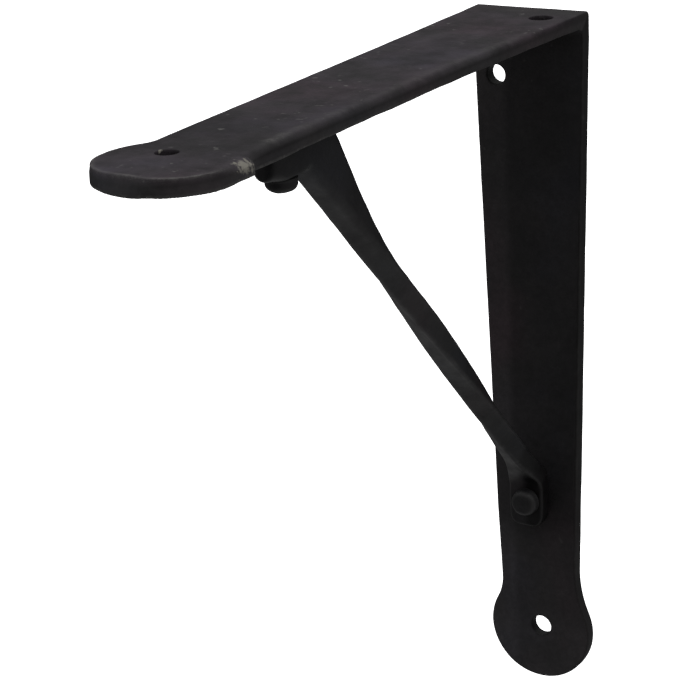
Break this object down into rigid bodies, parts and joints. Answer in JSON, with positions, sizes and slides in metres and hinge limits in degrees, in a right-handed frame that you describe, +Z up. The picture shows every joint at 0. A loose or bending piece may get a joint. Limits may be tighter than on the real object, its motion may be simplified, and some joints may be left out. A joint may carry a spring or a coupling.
{
  "type": "shelf bracket",
  "caption": "Forged iron shelf bracket: a flat bar bent to a right angle with penny ends, braced by a riveted twisted bar.",
  "frame": {"origin": "on the leg's back face, where it lies against the wall, midway between the leg's two screw holes", "axes": "+X across the bar, +Y into the wall, +Z up; the arm points along -Y and its top carries the shelf"},
  "size_m": [0.0353, 0.2008, 0.2095],
  "materials": {
    "black_iron_bar": "forge-black scale under wax, satin",
    "black_iron_brace": "forge-black scale under wax, satin",
    "black_iron_rivet": "forge-black scale under wax, satin"
  },
  "bodies": {
    "root": {"bent_bar": "black_iron_bar", "twisted_brace": "black_iron_brace", "upper_rivet": "black_iron_rivet", "lower_rivet": "black_iron_rivet"}
  },
  "joints": []
}
